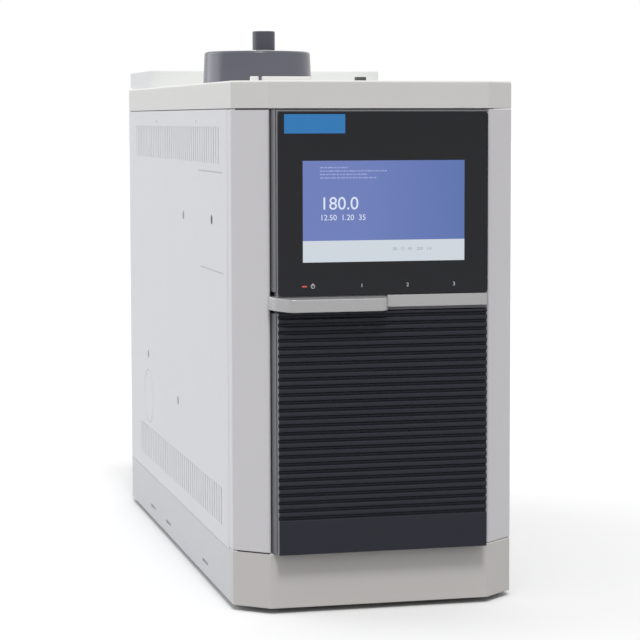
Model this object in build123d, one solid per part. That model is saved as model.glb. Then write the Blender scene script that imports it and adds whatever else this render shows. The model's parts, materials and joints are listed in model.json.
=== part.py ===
from build123d import *
import math
import os

# A narrow bench gas chromatograph. X runs across the front (to the right of someone facing it),
# Y runs from the front to the rear and Z is up. The origin is on the bench, under the middle of
# the whole object's length. All sizes are in millimetres.

# ---- driving dimensions -------------------------------------------------------------------------
WIDTH = 270.0            # over the side panels
DEPTH = 650.0            # body front plane to the rear panel's outer face
FRONT = -317.0           # y of the body front plane, where the chamfered corners end
BACK = FRONT + DEPTH     # y of the rear panel's outer face
HALF = WIDTH / 2

FOOT_H = 5.0             # rubber feet
BASE_TOP = 56.5          # top of the front base moulding
SKIRT_TOP = 53.5         # top of the base pan's side walls
COVER_BOTTOM = 465.8     # lower edge of the top cover
COVER_TOP = 491.4
LID_TOP = 511.6          # detector cover
SHROUD_TOP = 524.9       # inlet shroud
NUT_TOP = 545.3          # septum nut, the highest point

CHAMFER_X = 30.5         # front corner chamfer, across
CHAMFER_Y = 26.2         # front corner chamfer, along the depth

SHEET = 1.5              # folded side panels and base pan
FRAME = 2.0              # bulkheads
MOULD = 2.5              # moulded covers
SEAM = 0.5               # visible joint between neighbouring panels

FRAME_Y = FRONT + 46.5   # front face of the front frame
PANEL_Y = FRONT + 45.0   # front edge of the side panels
MID_Y = FRONT + 330.0    # middle bulkhead
REAR_Y = FRONT + 500.0   # rear bulkhead

# doors on the front
DOOR_HALF = 99.5         # half width of the door and of the display housing
BAY_HALF = 103.6         # half width of the opening between the pillars
PROUD = 14.0             # door and glass stand this far in front of the body
DOOR_BOTTOM = 57.2
DOOR_TOP = 280.3
RIB_FIRST = 276.1        # centre height of the uppermost groove
RIB_PITCH = 7.12
RIB_COUNT = 27
RIB_DEPTH = 3.2
RIB_MOUTH = 3.8          # groove width at the front
RIB_ROOT = 2.0           # groove width at its bottom
DOOR_SKIN = 5.5          # front skin, measured outside the grooves
DOOR_REAR = FRONT + 9.0
DOOR_WALL = 2.5
HINGE_X = 89.0           # door hinge axis
HINGE_Y = FRONT - 3.0
DOOR_ARM_T = 5.0
DOOR_ARM_Z = (73.5, 264.5)   # mid heights of the two hinge arms

# display unit
DISPLAY_BOTTOM = 281.0
DISPLAY_TOP = 464.5
DISPLAY_REAR = FRONT + 20.0
LIFT_Y = FRONT - 6.5     # display hinge axis
LIFT_Z = 456.5
GLASS_BOTTOM = 295.5
GLASS_TOP = 462.5
GLASS_T = 2.5
ARM_X = 80.0             # display hinge arms
ARM_W = 5.0

# lift bar and trim strip under the glass
BAR_FRONT = FRONT - 28.0
BAR_END = -106.8         # left end, just in front of the pillar
BAR_KNEE = (-103.5, FRONT - 13.0)
BAR_BEND = -91.0         # where the swept end meets the straight front
BAR_TIP = 2.0
BAR_TOP = GLASS_BOTTOM - 0.5
STRIP_BOTTOM = 284.0

# top of the instrument
SHROUD_X = -58.9
SHROUD_Y = FRONT + 270.0
SHROUD_R = 55.6          # at its foot
SHROUD_DRAFT = 1.5       # smaller at the top by this much
INLET_X = -56.3
INLET_Y = FRONT + 250.0
NUT_R = 11.4
LID_FRONT = FRONT + 508.0
LID_HALF = 133.0
LID_AXIS_Y = BACK - 5.0
LID_AXIS_Z = 497.4
FID_X = 60.0
FID_Y = FRONT + 575.0

# ventilation
LOUVRE_PITCH = 12.0
LOUVRE_RUN = 3.2         # length of the pressed ramp
LOUVRE_DEPTH = 1.1       # ramp depth at the slit
LOUVRE_SLIT = 1.0
FAN_X = 50.0
FAN_Z = 270.0
FAN_R = 38.0

PIN_R = 2.0
RUN = 0.05               # radial running clearance


# works behind the doors and inside the body
COLUMN_Z = 168.0
KNOB_X = 40.0
KNOB_Z = 335.0
GAS_X = (-96.0, -76.0, -56.0, -36.0)
GAS_Z = 350.0
NETWORK_X = (60.0, 84.0)


# ---- helpers ------------------------------------------------------------------------------------
def block(x0, x1, y0, y1, z0, z1):
    """Box between six limits."""
    return Pos((x0 + x1) / 2, (y0 + y1) / 2, (z0 + z1) / 2) * Box(x1 - x0, y1 - y0, z1 - z0)


def rod_x(x0, x1, y, z, r):
    return Pos((x0 + x1) / 2, y, z) * Rot(0, 90, 0) * Cylinder(r, x1 - x0)


def rod_y(y0, y1, x, z, r):
    return Pos(x, (y0 + y1) / 2, z) * Rot(90, 0, 0) * Cylinder(r, y1 - y0)


def rod_z(z0, z1, x, y, r):
    return Pos(x, y, (z0 + z1) / 2) * Cylinder(r, z1 - z0)


def prism(points, direction, length):
    """Straight prism over a closed plane outline of 3-D points."""
    return extrude(make_face(Polyline(*points, close=True)), amount=length, dir=direction)


def upright(points, z0, z1):
    """Vertical prism over an outline of (x, y) points."""
    return prism([(x, y, z0) for x, y in points], (0, 0, 1), z1 - z0)


def across(points, x0, x1):
    """Prism along X over an outline of (y, z) points."""
    return prism([(x0, y, z) for y, z in points], (1, 0, 0), x1 - x0)


def mirrored(shape):
    """The other hand of a piece, mirrored in the middle plane."""
    return mirror(shape, about=Plane.YZ)


def save(name, *solids):
    """Write one node: a single solid, or a group of separate alike solids."""
    shape = solids[0] if len(solids) == 1 else Compound(children=list(solids))
    export_step(shape, "parts/" + name + ".step")


def upright_edge(shape, x, y):
    """The vertical edge of a shape nearest to a place in plan."""
    return shape.edges().filter_by(Axis.Z).sort_by(lambda e: math.hypot(e.center().X - x, e.center().Y - y))[0]


def chamfer_y(x):
    """Depth of the front corner chamfer's outer face at distance x from the middle."""
    return FRONT + (x - (HALF - CHAMFER_X)) * CHAMFER_Y / CHAMFER_X


def body_plan(inset, y_end):
    """Plan outline of the body with its chamfered front corners, drawn inset by a wall."""
    half = HALF - inset
    slant = inset * math.hypot(CHAMFER_X, CHAMFER_Y) / CHAMFER_X
    corner_y = chamfer_y(half) + slant
    nose_x = HALF - CHAMFER_X + (inset - slant) * CHAMFER_X / CHAMFER_Y
    return [(-half, y_end), (-half, corner_y), (-nose_x, FRONT + inset),
            (nose_x, FRONT + inset), (half, corner_y), (half, y_end)]


# ---- base ---------------------------------------------------------------------------------------
def base_pan():
    """Folded tray: floor and two skirts, each skirt with three long slots."""
    y0 = FRONT + 38.0
    pan = block(-HALF, HALF, y0, BACK, FOOT_H, SKIRT_TOP)
    pan -= block(-HALF + SHEET, HALF - SHEET, y0 - 1, BACK + 1, FOOT_H + FRAME, SKIRT_TOP + 1)
    slots = []
    for along in (170.0, 389.0, 493.0):
        y = FRONT + along
        slots.append(block(-HALF - 1, -HALF + 2, y - 15, y + 15, 16.2, 19.8))
        slots.append(block(HALF - 2, HALF + 1, y - 15, y + 15, 16.2, 19.8))
    return pan - slots


def base_front():
    """Moulded front foot of the body, wrapping round both chamfered corners."""
    wall = 3.0
    y_end = FRONT + 38.0
    shell = upright(body_plan(0, y_end), FOOT_H, BASE_TOP)
    shell = fillet(shell.edges().filter_by_position(Axis.Z, BASE_TOP - 0.01, BASE_TOP + 0.01)
                   .filter_by(lambda e: e.center().Y < y_end - 1), 1.0)
    shell -= upright(body_plan(wall, y_end + 1), FOOT_H + wall, BASE_TOP - wall)
    sill = block(-104, 104, y_end, FRAME_Y, BASE_TOP - wall, BASE_TOP)
    return shell + sill


def feet():
    spots = [(x, y) for x in (-108.0, 108.0) for y in (FRONT + 62.0, BACK - 55.0)]
    return [rod_z(0, FOOT_H, x, y, 14.0) for x, y in spots]


# ---- side panels and pillars --------------------------------------------------------------------
def louvre_row(x_in, x_out, y_first, count, z0, z1):
    """A row of pressed louvres in a wall from x_in to x_out: a slit at the deep end of a ramp."""
    cuts = []
    for i in range(count):
        y = y_first + LOUVRE_PITCH * i
        deep = y + LOUVRE_RUN
        outline = [(x_in - 1, deep), (x_out + 1, deep), (x_out + 1, y), (x_out, y),
                   (x_out - LOUVRE_DEPTH, deep - LOUVRE_SLIT), (x_in - 1, deep - LOUVRE_SLIT)]
        cuts.append(upright(outline, z0, z1))
    return cuts


def plain_right_panel():
    """Side sheet with two folded flanges and two rows of louvres, right hand."""
    inner = HALF - SHEET
    z0 = SKIRT_TOP + SEAM
    z1 = COVER_BOTTOM - 0.6
    flange = 10.5
    panel = block(inner, HALF, PANEL_Y, BACK, z0, z1)
    panel += block(inner - flange, inner, PANEL_Y, PANEL_Y + SHEET, z0, z1)
    rear = BACK - FRAME
    panel += block(inner - flange, inner, rear - SHEET, rear, z0, z1)
    cuts = louvre_row(inner, HALF, FRONT + 86.0, 43, 414.0, 449.0)
    cuts += louvre_row(inner, HALF, FRONT + 80.0, 42, 71.0, 107.0)
    for along in (205.0, 449.0):
        cuts.append(rod_x(inner - 1, HALF + 1, FRONT + along, 454.0, 2.0))
    return panel - cuts


def left_side_panel():
    """Left hand: the same sheet with pressed dimples, seam lines and a knock-out."""
    panel = mirrored(plain_right_panel())
    depth = 0.8
    x = -HALF
    cuts = [block(x - 1, x + depth, FRONT + 70, FRONT + 190, 405.4, 406.6),
            block(x - 1, x + depth, FRONT + 188.8, FRONT + 190, 399.0, 406.0),
            block(x - 1, x + depth, FRONT + 66, FRONT + 184, 310.9, 312.1)]
    for along, z in ((281.5, 358.0), (124.0, 360.0), (322.0, 161.0), (520.0, 190.0)):
        cone = Pos(x + depth / 2, FRONT + along, z) * Rot(0, 90, 0) * Cone(5.0, 3.0, depth)
        cuts.append(cone)
    ring = rod_x(x - 1, x + 0.6, FRONT + 517, 142.0, 31.0) - rod_x(x - 2, x + 1, FRONT + 517, 142.0, 30.0)
    cuts.append(ring)
    return panel - cuts


def pillar():
    """Hollow chamfered front corner column, right hand."""
    slant = MOULD * math.hypot(CHAMFER_X, CHAMFER_Y) / CHAMFER_X
    seam_y = PANEL_Y - 0.6
    x_in = BAY_HALF + MOULD
    x_out = HALF - MOULD
    outline = [(HALF, seam_y), (HALF, FRONT + CHAMFER_Y), (BAY_HALF, chamfer_y(BAY_HALF)),
               (BAY_HALF, FRAME_Y), (x_in, FRAME_Y), (x_in, chamfer_y(x_in) + slant),
               (x_out, chamfer_y(x_out) + slant), (x_out, seam_y)]
    column = upright(outline, BASE_TOP + SEAM, COVER_BOTTOM - 0.6)
    column = fillet(upright_edge(column, HALF, FRONT + CHAMFER_Y), 1.5)
    return fillet(upright_edge(column, BAY_HALF, chamfer_y(BAY_HALF)), 1.8)


# ---- top ----------------------------------------------------------------------------------------
def top_cover():
    """Moulded lid of the body: rounded rim, hollow below, openings for inlet and detector."""
    shell = upright(body_plan(0, BACK), COVER_BOTTOM, COVER_TOP)
    rim = shell.edges().filter_by_position(Axis.Z, COVER_TOP - 0.01, COVER_TOP + 0.01)
    shell = fillet(rim, 2.0)
    shell -= upright(body_plan(MOULD, BACK - MOULD), COVER_BOTTOM - 1, COVER_TOP - MOULD)
    shell -= rod_z(COVER_TOP - 5, COVER_TOP + 1, INLET_X, INLET_Y, 24.0)
    shell -= block(-100, 100, LID_FRONT + 22, BACK - 25, COVER_TOP - 5, COVER_TOP + 1)
    return shell


def top_guide_strip():
    """Low rail with a separate stud, on the cover in front of the inlet."""
    y0 = FRONT + 118.0
    rail = block(-85.0, -37.0, y0, y0 + 8.0, COVER_TOP, COVER_TOP + 5.8)
    rail = fillet(rail.edges().filter_by(Axis.Z), 2.0)
    stud = rod_z(COVER_TOP, COVER_TOP + 5.8, -92.7, y0 + 4.0, 4.2)
    return [rail, stud]


def top_stop():
    """Small rubber stop."""
    stop = block(5.5, 15.0, FRONT + 108, FRONT + 119, COVER_TOP, COVER_TOP + 5.3)
    return fillet(stop.edges().filter_by(Axis.Z), 1.5)


def inlet_shroud():
    """Slightly tapered drum round the inlet, open below, with a hole for the inlet's neck."""
    height = SHROUD_TOP - COVER_TOP
    top_r = SHROUD_R - SHROUD_DRAFT
    place = Pos(SHROUD_X, SHROUD_Y, COVER_TOP + height / 2)
    drum = place * Cone(SHROUD_R, top_r, height)
    drum = fillet(drum.edges().filter_by_position(Axis.Z, SHROUD_TOP - 0.01, SHROUD_TOP + 0.01), 3.0)
    hollow = height - MOULD
    drum -= Pos(SHROUD_X, SHROUD_Y, COVER_TOP + hollow / 2) * Cone(SHROUD_R - MOULD, top_r - MOULD, hollow)
    return drum - rod_z(SHROUD_TOP - 5, SHROUD_TOP + 1, INLET_X, INLET_Y, NUT_R + 1.2)


def inlet_body():
    """Heated inlet: flanged barrel, neck and threaded stub under the septum nut."""
    barrel = rod_z(380.0, 500.0, INLET_X, INLET_Y, 18.0)
    barrel += rod_z(500.0, SHROUD_TOP + 1.3, INLET_X, INLET_Y, NUT_R)
    return barrel + rod_z(SHROUD_TOP + 1.3, NUT_TOP - 6.0, INLET_X, INLET_Y, 7.0)


def septum_nut():
    """Round knurled nut, turned by hand, with the needle guide hole in its top."""
    nut = rod_z(SHROUD_TOP + 1.6, NUT_TOP, INLET_X, INLET_Y, NUT_R)
    top = nut.edges().filter_by_position(Axis.Z, NUT_TOP - 0.01, NUT_TOP + 0.01)
    nut = fillet(top, 1.2)
    nut -= rod_z(SHROUD_TOP, NUT_TOP - 5.5, INLET_X, INLET_Y, 7.0 + RUN)
    return nut - rod_z(NUT_TOP - 8, NUT_TOP + 1, INLET_X, INLET_Y, 1.2)


def inlet_bracket():
    """Angle that carries the inlet from the middle bulkhead."""
    shelf = block(-92, -20, INLET_Y - 28, MID_Y, 377.0, 380.0)
    return shelf + block(-92, -20, MID_Y - 3, MID_Y, 345.0, 377.0)


def detector_cover():
    """Hinged lid over the detector, rounded about its rear hinge axis."""
    z0 = LID_AXIS_Z - 5.0
    lid = across([(LID_FRONT, z0), (LID_AXIS_Y, z0), (LID_AXIS_Y, LID_AXIS_Z), (BACK, LID_AXIS_Z),
                  (BACK, LID_TOP), (LID_FRONT, LID_TOP)], -LID_HALF, LID_HALF)
    lid += rod_x(-LID_HALF, LID_HALF, LID_AXIS_Y, LID_AXIS_Z, 5.0)
    crown = lid.edges().filter_by_position(Axis.Z, LID_TOP - 0.01, LID_TOP + 0.01)
    lid = fillet(crown, 2.0)
    inner = LID_HALF - MOULD
    lid -= block(-inner, inner, LID_FRONT + MOULD, BACK - MOULD, z0 - 1, LID_TOP - MOULD)
    for side in (-1, 1):
        lug_in, lug_out = sorted((side * (inner - 4.0), side * inner))
        lid += rod_x(lug_in, lug_out, LID_AXIS_Y, LID_AXIS_Z, 4.6)
        bore_in, bore_out = sorted((side * (inner - 5.0), side * (inner + 1.5)))
        lid -= rod_x(bore_in, bore_out, LID_AXIS_Y, LID_AXIS_Z, PIN_R + RUN)
        notch_in, notch_out = sorted((side * 117.0, side * (inner - 4.0)))
        lid -= block(notch_in, notch_out, LID_AXIS_Y - 6, BACK + 1, z0 - 1, LID_AXIS_Z + 7)
    return lid


def lid_bracket(side):
    """Upright ear on the top cover that holds one hinge pin of the detector cover."""
    x_in, x_out = sorted((side * 118.5, side * 124.9))
    ear = block(x_in, x_out, LID_AXIS_Y - 14, LID_AXIS_Y + 4, COVER_TOP, COVER_TOP + 2)
    ear += block(x_in, x_out, LID_AXIS_Y - 4, LID_AXIS_Y + 4, COVER_TOP, LID_AXIS_Z)
    ear += rod_x(x_in, x_out, LID_AXIS_Y, LID_AXIS_Z, 4.0)
    return ear - rod_x(x_in - 1, x_out + 1, LID_AXIS_Y, LID_AXIS_Z, PIN_R)


def lid_pin(side):
    x_in, x_out = sorted((side * 118.5, side * 130.4))
    return rod_x(x_in, x_out, LID_AXIS_Y, LID_AXIS_Z, PIN_R)


# ---- frames -------------------------------------------------------------------------------------
def bulkhead(y, windows, flange=14.0):
    """Cross wall standing on the base pan, flanged at its sides, its top edge under the cover."""
    half = HALF - SHEET - 0.1
    floor = FOOT_H + FRAME
    wall = block(-half, half, y, y + FRAME, floor, COVER_BOTTOM - 0.7)
    wall += block(-124, 124, y, y + FRAME, COVER_BOTTOM - 0.7, COVER_TOP - MOULD)
    for side in (-1, 1):
        x0, x1 = sorted((side * (half - FRAME), side * half))
        wall += block(x0, x1, y + FRAME, y + FRAME + flange, floor, COVER_BOTTOM - 0.7)
    holes = [block(x0, x1, y - 1, y + FRAME + 1, z0, z1) for x0, x1, z0, z1 in windows]
    return wall - holes


def air_windows(lefts, bottoms):
    """Grid of ventilation windows in a bulkhead, as (x0, x1, z0, z1)."""
    return [(x, x + 38.0, z, z + 56.0) for x in lefts for z in bottoms]


def rear_panel():
    """Rear wall with the openings for power, network, gas fittings and the two fans."""
    half = HALF - SHEET - 0.1
    y0 = BACK - FRAME
    panel = block(-half, half, y0, BACK, FOOT_H + FRAME, COVER_BOTTOM)
    cuts = [block(-117, -58, y0 - 1, BACK + 1, 31, 69)]
    cuts += [block(x - 8.5, x + 8.5, y0 - 1, BACK + 1, 43, 58) for x in NETWORK_X]
    cuts += [rod_y(y0 - 1, BACK + 1, x, GAS_Z, 5.0) for x in GAS_X]
    for fan_x in (-FAN_X, FAN_X):
        for i in range(-4, 5):
            rise = 8.0 * i
            reach = math.sqrt(36.0 ** 2 - rise ** 2)
            cuts.append(block(fan_x - reach, fan_x + reach, y0 - 1, BACK + 1,
                              FAN_Z + rise - 2.2, FAN_Z + rise + 2.2))
    for i in range(10):
        x = -81.0 + 18.0 * i
        cuts.append(block(x - 6, x + 6, y0 - 1, BACK + 1, 150.0, 154.0))
        cuts.append(block(x - 6, x + 6, y0 - 1, BACK + 1, 160.0, 164.0))
    return panel - cuts


# ---- display unit -------------------------------------------------------------------------------
def display_housing():
    """Box behind the glass, open at the front, slotted at the top for the two hinge arms."""
    wall = 3.0
    front = FRONT - PROUD + GLASS_T
    z0, z1 = DISPLAY_BOTTOM, DISPLAY_TOP
    shell = block(-DOOR_HALF, DOOR_HALF, front, DISPLAY_REAR, z0, z1)
    rear_low = shell.edges().filter_by(Axis.X).sort_by(lambda e: e.center().Y - e.center().Z)[-1]
    shell = chamfer(rear_low, 14.0)
    hollow = block(-DOOR_HALF + wall, DOOR_HALF - wall, front - 1, DISPLAY_REAR - wall,
                   GLASS_BOTTOM, z1 - wall)
    shell -= hollow
    shell += block(-DOOR_HALF, DOOR_HALF, FRONT - PROUD + 1.0, front, GLASS_TOP + 0.3, z1)
    for x in (-ARM_X, ARM_X):
        shell += block(x - 9, x + 9, front, DISPLAY_REAR - wall, LIFT_Z - 11, z1 - wall)
    for x in (-ARM_X, ARM_X):
        gap = ARM_W / 2 + 0.7
        shell -= block(x - gap, x + gap, front, DISPLAY_REAR + 1, LIFT_Z - 5.0, z1 + 1)
        shell -= rod_x(x - 8, x + 8, LIFT_Y, LIFT_Z, PIN_R)
    return shell


def display_glass():
    """Front glass over the whole display unit with rounded corners."""
    y0 = FRONT - PROUD
    plate = block(-DOOR_HALF, DOOR_HALF, y0, y0 + GLASS_T, GLASS_BOTTOM, GLASS_TOP)
    return fillet(plate.edges().filter_by(Axis.Y), 3.0)


def lcd_panel():
    y0 = FRONT - PROUD + GLASS_T
    return block(-82, 82, y0, y0 + 8, 316, 428)


def display_board():
    """Circuit board behind the panel, with two connectors."""
    y0 = FRONT - PROUD + GLASS_T + 8
    board = block(-84, 84, y0, y0 + 1.6, 312, 440)
    for x in (-50.0, 30.0):
        board += block(x, x + 28, y0 + 1.6, y0 + 8, 330, 338)
    return board


def handle_bar():
    """Lift bar across the left half: swept left end, round right end, top sloping to the front."""
    y_back = FRONT - PROUD + GLASS_T
    y_end = FRONT - 2.0
    z0 = DISPLAY_BOTTOM + 0.2
    outline = [(BAR_END, y_end), BAR_KNEE, (BAR_BEND, BAR_FRONT), (BAR_TIP, BAR_FRONT),
               (BAR_TIP, y_back), (-DOOR_HALF, y_back), (-DOOR_HALF, y_end)]
    bar = upright(outline, z0, BAR_TOP)
    bar = fillet(upright_edge(bar, BAR_BEND, BAR_FRONT), 10.0)
    bar = fillet(upright_edge(bar, BAR_TIP, BAR_FRONT), 9.0)
    bar = fillet(upright_edge(bar, *BAR_KNEE), 16.0)
    for drop, rise, side in ((BAR_TOP - 1.8, BAR_TOP, Keep.BOTTOM), (z0, z0 + 1.5, Keep.TOP)):
        front_left = Vector(BAR_BEND, BAR_FRONT, drop)
        front_right = Vector(BAR_TIP, BAR_FRONT, drop)
        rear_left = Vector(BAR_END, y_end, rise)
        slope = (front_right - front_left).cross(rear_left - front_left)
        bar = bar.split(Plane(origin=front_left, z_dir=slope), keep=side)
    return bar


def trim_strip():
    """Thin strip that carries the bar's line on to the right-hand edge."""
    y_back = FRONT - PROUD + GLASS_T
    strip = block(BAR_TIP + 0.5, DOOR_HALF - 1, FRONT - 16.0, y_back, STRIP_BOTTOM, GLASS_BOTTOM - 0.4)
    end = strip.edges().filter_by(Axis.Z).sort_by(lambda e: e.center().X - e.center().Y)[-1]
    return fillet(end, 2.0)


def display_arm(x):
    """Arm from the front frame to one display hinge pin."""
    x0, x1 = x - ARM_W / 2, x + ARM_W / 2
    arm = block(x0, x1, LIFT_Y, FRAME_Y - 3, LIFT_Z - 4, LIFT_Z + 4)
    arm += rod_x(x0, x1, LIFT_Y, LIFT_Z, 4.0)
    arm += block(x - 10, x + 10, FRAME_Y - 3, FRAME_Y, LIFT_Z - 24, LIFT_Z + 6)
    arm += across([(FRAME_Y - 3, LIFT_Z - 4), (FRAME_Y - 15, LIFT_Z - 4), (FRAME_Y - 3, LIFT_Z - 20)], x0, x1)
    return arm - rod_x(x0 - 1, x1 + 1, LIFT_Y, LIFT_Z, PIN_R + RUN)


def display_pin(x):
    return rod_x(x - 8, x + 8, LIFT_Y, LIFT_Z, PIN_R)


# ---- lower door ---------------------------------------------------------------------------------
def rib_groove(z):
    """Tapered groove across the whole door."""
    y0 = FRONT - PROUD
    outline = [(y0 - 1, z - RIB_MOUTH / 2 - 0.28), (y0 + RIB_DEPTH, z - RIB_ROOT / 2),
               (y0 + RIB_DEPTH, z + RIB_ROOT / 2), (y0 - 1, z + RIB_MOUTH / 2 + 0.28)]
    return across(outline, -DOOR_HALF - 1, DOOR_HALF + 1)


def hinge_notch(z):
    """Room in the door for one hinge arm through the whole swing."""
    half_t = DOOR_ARM_T / 2 + 0.8
    return block(HINGE_X - 13, DOOR_HALF + 1, FRONT - PROUD + DOOR_SKIN, DOOR_REAR + 1, z - half_t, z + half_t)


def door_shell():
    """Ribbed door: grooved front skin, four walls and the lugs for the hinge pins."""
    y0 = FRONT - PROUD
    shell = block(-DOOR_HALF, DOOR_HALF, y0, DOOR_REAR, DOOR_BOTTOM, DOOR_TOP)
    corners = shell.edges().filter_by(Axis.Z).filter_by(lambda e: e.center().Y < FRONT)
    shell = fillet(corners, 1.5)
    shell -= block(-DOOR_HALF + DOOR_WALL, DOOR_HALF - DOOR_WALL, y0 + DOOR_SKIN, DOOR_REAR + 1,
                   DOOR_BOTTOM + DOOR_WALL, DOOR_TOP - DOOR_WALL)
    for z in DOOR_ARM_Z:
        shell += block(HINGE_X - 5, HINGE_X + 8, y0 + DOOR_SKIN, HINGE_Y + 5, z - 8.5, z + 8.5)
    shell -= [hinge_notch(z) for z in DOOR_ARM_Z]
    shell -= [rod_z(z - 8, z + 8, HINGE_X, HINGE_Y, PIN_R + 0.5) for z in DOOR_ARM_Z]
    return shell - [rib_groove(RIB_FIRST - RIB_PITCH * i) for i in range(RIB_COUNT)]


def door_liner():
    """Inner plate of the door, let in between its walls and notched for the hinge arms."""
    half = DOOR_HALF - DOOR_WALL
    plate = block(-half, half, DOOR_REAR - 2.5, DOOR_REAR, DOOR_BOTTOM + DOOR_WALL, DOOR_TOP - DOOR_WALL)
    plate += block(-70, 60, DOOR_REAR - 12, DOOR_REAR - 2.5, 100, 245)
    return plate - [hinge_notch(z) for z in DOOR_ARM_Z]


def door_arm(z):
    """Flat arm from the front frame to one door hinge pin."""
    z0, z1 = z - DOOR_ARM_T / 2, z + DOOR_ARM_T / 2
    arm = block(HINGE_X - 9, HINGE_X, HINGE_Y + 2, FRAME_Y - 3, z0, z1)
    arm += block(HINGE_X - 4, HINGE_X, HINGE_Y, HINGE_Y + 2, z0, z1)
    arm += rod_z(z0, z1, HINGE_X, HINGE_Y, 4.5)
    arm += block(HINGE_X - 16, HINGE_X + 12, FRAME_Y - 3, FRAME_Y, z - 8, z + 8)
    return arm - rod_z(z0 - 1, z1 + 1, HINGE_X, HINGE_Y, PIN_R + 0.5 + RUN)


def door_pin(z):
    return rod_z(z - 8, z + 8, HINGE_X, HINGE_Y, PIN_R + 0.5)


def door_magnet():
    return block(-94, -76, DOOR_REAR, DOOR_REAR + 4, 258, 272)


def door_catch():
    """Steel plate on a stem that the door magnet closes against."""
    catch = block(-94, -76, DOOR_REAR + 4.3, DOOR_REAR + 6.3, 258, 272)
    return catch + block(-89, -81, DOOR_REAR + 6.3, FRAME_Y, 261, 269)


# ---- column bay ---------------------------------------------------------------------------------
def column_heater():
    """Round aluminium heater plate with three pegs for the column module."""
    plate = rod_y(FRAME_Y - 6, FRAME_Y, 0, COLUMN_Z, 86.0)
    for i in range(3):
        turn = math.radians(90 + 120 * i)
        plate += rod_y(FRAME_Y - 18, FRAME_Y - 6, 62 * math.cos(turn), COLUMN_Z + 62 * math.sin(turn), 3.0)
    return plate


def column_module():
    """Flat round column cassette: dished rim, hub hole, clearance holes for the pegs."""
    y0, y1 = FRAME_Y - 22, FRAME_Y - 6
    disc = rod_y(y0, y1, 0, COLUMN_Z, 82.0)
    disc -= rod_y(y0 - 1, y0 + 7, 0, COLUMN_Z, 74.0) - rod_y(y0 - 2, y0 + 8, 0, COLUMN_Z, 34.0)
    disc -= rod_y(y0 - 1, y1 + 1, 0, COLUMN_Z, 20.0)
    for i in range(3):
        turn = math.radians(90 + 120 * i)
        disc -= rod_y(y0 - 1, y1 + 1, 62 * math.cos(turn), COLUMN_Z + 62 * math.sin(turn), 3.3)
    return disc


def bus_block():
    """Heated block that links inlet, column and detector flow chips."""
    bus = block(-66, 66, FRAME_Y - 12, FRAME_Y, 318, 352)
    return chamfer(bus.edges().filter_by(Axis.Z).filter_by(lambda e: e.center().Y < FRAME_Y - 6), 3.0)


def flow_chip(x):
    """Thin metal flow chip lying on the bus."""
    return block(x - 9, x + 9, FRAME_Y - 13.5, FRAME_Y - 12, 322, 348)


def guard_chip():
    """Guard cartridge plate clipped above the bus."""
    chip = block(-46, 46, FRAME_Y - 8, FRAME_Y, 366, 392)
    return chip - block(-38, 38, FRAME_Y - 9, FRAME_Y - 5, 371, 387)


def clamp_stud(x):
    return rod_y(FRAME_Y - 22, FRAME_Y - 13.5, x, KNOB_Z, 3.0)


def clamp_knob(x):
    """Two-winged clamping knob on its stud."""
    y0, y1 = FRAME_Y - 23.5, FRAME_Y - 13.8
    knob = rod_y(y0, y1, x, KNOB_Z, 8.0) + block(x - 15, x + 15, y0 + 1, y1 - 1, KNOB_Z - 3, KNOB_Z + 3)
    knob = knob - rod_y(y0 + 1.2, y1 + 1, x, KNOB_Z, 3.0 + RUN)
    return knob


# ---- inside the body ----------------------------------------------------------------------------
def epc_manifold():
    """Ported block of the pneumatics on the middle bulkhead."""
    block_y = MID_Y + FRAME
    body = block(-108, -24, block_y, block_y + 24, 325, 375)
    return body - [rod_z(365, 376, x, block_y + 12, 2.5) for x in GAS_X]


def epc_modules():
    y0 = MID_Y + FRAME + 24
    return [block(x - 8.5, x + 8.5, y0, y0 + 46, 330, 370) for x in GAS_X]


def gas_lines():
    """Straight steel tubes from the rear fittings to the pneumatics modules."""
    y0 = MID_Y + FRAME + 24 + 46
    return [rod_y(y0, BACK - 12, x, GAS_Z, 1.6) for x in GAS_X]


def gas_fitting(x):
    """Brass bulkhead fitting: tube end inside, hexagon flange on the panel and outer thread."""
    hexagon = Plane(origin=(x, BACK, GAS_Z), z_dir=(0, 1, 0)) * RegularPolygon(6.4, 6)
    return rod_y(BACK - 12, BACK + 12, x, GAS_Z, 4.0) + extrude(hexagon, amount=5.0)


def inlet_line():
    """Carrier tube from the manifold up and forward to the inlet barrel."""
    x = GAS_X[2] - 0.3
    y0 = MID_Y + FRAME + 12
    y1 = INLET_Y + 18.1
    path = FilletPolyline((x, y0, 375), (x, y0, 410), (x, y1, 410), radius=12)
    return sweep(Plane(origin=(x, y0, 375), z_dir=(0, 0, 1)) * Circle(1.6), path=path)


def power_supply():
    """Boxed supply with rows of vents on its top."""
    box = block(6, 116, MID_Y + 24, REAR_Y - 12, FOOT_H + FRAME, 92)
    return box - [block(20 + 16 * i, 28 + 16 * i, MID_Y + 40, REAR_Y - 30, 90, 93) for i in range(6)]


def main_board():
    """Main circuit board on standoffs in front of the rear bulkhead."""
    y1 = REAR_Y - 6
    board = block(4, 118, y1 - 1.6, y1, 110, 440)
    for x in (8.0, 114.0):
        for z in (114.0, 436.0):
            board += rod_y(y1, REAR_Y, x, z, 3.0)
    board += block(20, 60, y1 - 9.6, y1 - 1.6, 300, 340)
    board += block(70, 106, y1 - 15.6, y1 - 1.6, 180, 192)
    board += block(70, 106, y1 - 15.6, y1 - 1.6, 210, 222)
    return board


def detector_shelf():
    """Shelf between rear bulkhead and rear panel that carries the detector."""
    shelf = block(-122, 122, REAR_Y + FRAME, BACK - FRAME, 428, 430)
    return shelf - block(-110, -10, REAR_Y + 20, BACK - 40, 427, 431)


def fid_body():
    """Flame detector: square heated base, round body."""
    base = block(FID_X - 22, FID_X + 22, FID_Y - 22, FID_Y + 22, 430, 452)
    return base + rod_z(452, 484, FID_X, FID_Y, 15.0)


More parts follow.
